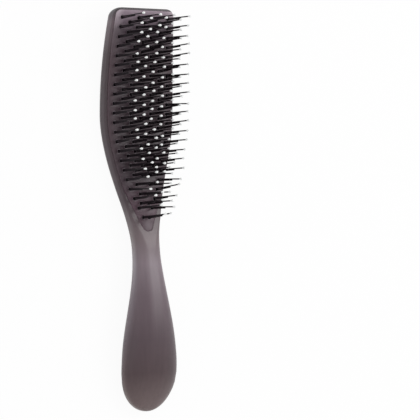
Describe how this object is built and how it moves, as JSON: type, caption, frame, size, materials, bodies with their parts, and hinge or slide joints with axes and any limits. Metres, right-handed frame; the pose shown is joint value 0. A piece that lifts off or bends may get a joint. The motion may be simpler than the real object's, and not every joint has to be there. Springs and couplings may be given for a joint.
{
  "type": "hair grooming brush",
  "caption": "Hand-held detangling hair brush with a curved paddle head, a bristle plate let into its front, paired long and short nylon bristles with ball tips, and a rounded grip.",
  "frame": {"origin": "middle of the brush's bounding box, on the surface that its back rests on", "axes": "+Y along the brush from the grip to the head, +Z from its back towards the bristle tips, +X across it"},
  "size_m": [0.0498, 0.23, 0.0372],
  "materials": {
    "smoky_plastic": "translucent smoky taupe plastic, injection moulded, satin gloss",
    "plate_plastic": "translucent smoky taupe plastic, injection moulded, a little deeper in tone than the body",
    "black_nylon": "extruded black nylon filament",
    "ball_tip_resin": "pale dipped resin, glossy"
  },
  "bodies": {
    "root": {"handle_body": "smoky_plastic", "bristle_plate": "plate_plastic", "bristle_row_1": "black_nylon", "bristle_row_2": "black_nylon", "bristle_row_3": "black_nylon", "bristle_row_4": "black_nylon", "bristle_row_5": "black_nylon", "bristle_row_6": "black_nylon", "bristle_row_7": "black_nylon"}
  },
  "joints": []
}
